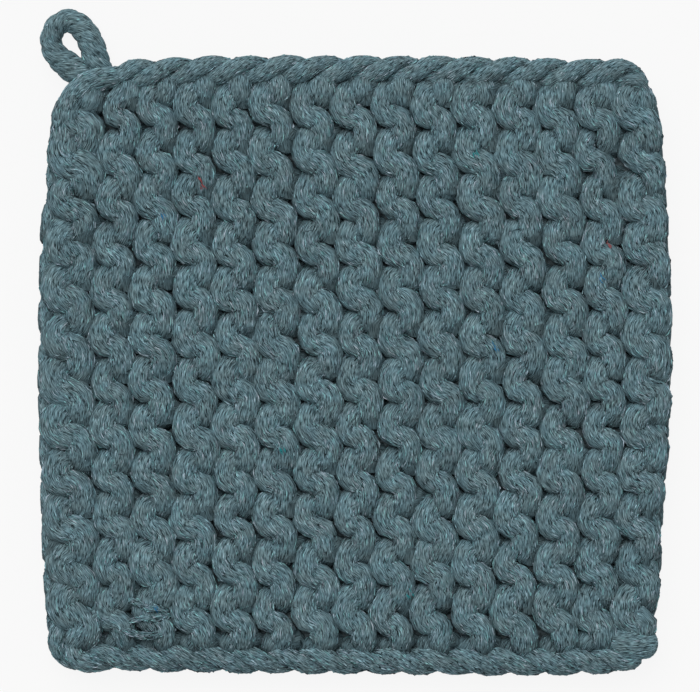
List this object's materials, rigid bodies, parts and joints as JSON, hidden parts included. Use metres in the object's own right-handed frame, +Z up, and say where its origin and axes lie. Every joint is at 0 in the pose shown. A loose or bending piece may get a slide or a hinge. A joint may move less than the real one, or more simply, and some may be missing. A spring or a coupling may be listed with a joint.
{
  "type": "knitted pot holder",
  "caption": "Thick garter-stitch pot holder in chunky cotton yarn, with rope-like selvedges and a corded hanging loop at one corner.",
  "frame": {"origin": "under the middle of the whole piece, on the surface it lies on", "axes": "+X across the ridges, +Y along them towards the edge with the loop, +Z up out of the knitted face"},
  "size_m": [0.2036, 0.213, 0.012],
  "materials": {
    "knit_yarn": "soft matt heathered grey-blue cotton",
    "loop_yarn": "soft matt heathered grey-blue cotton"
  },
  "bodies": {
    "root": {"knit_panel": "knit_yarn", "hanging_loop": "loop_yarn"}
  },
  "joints": []
}
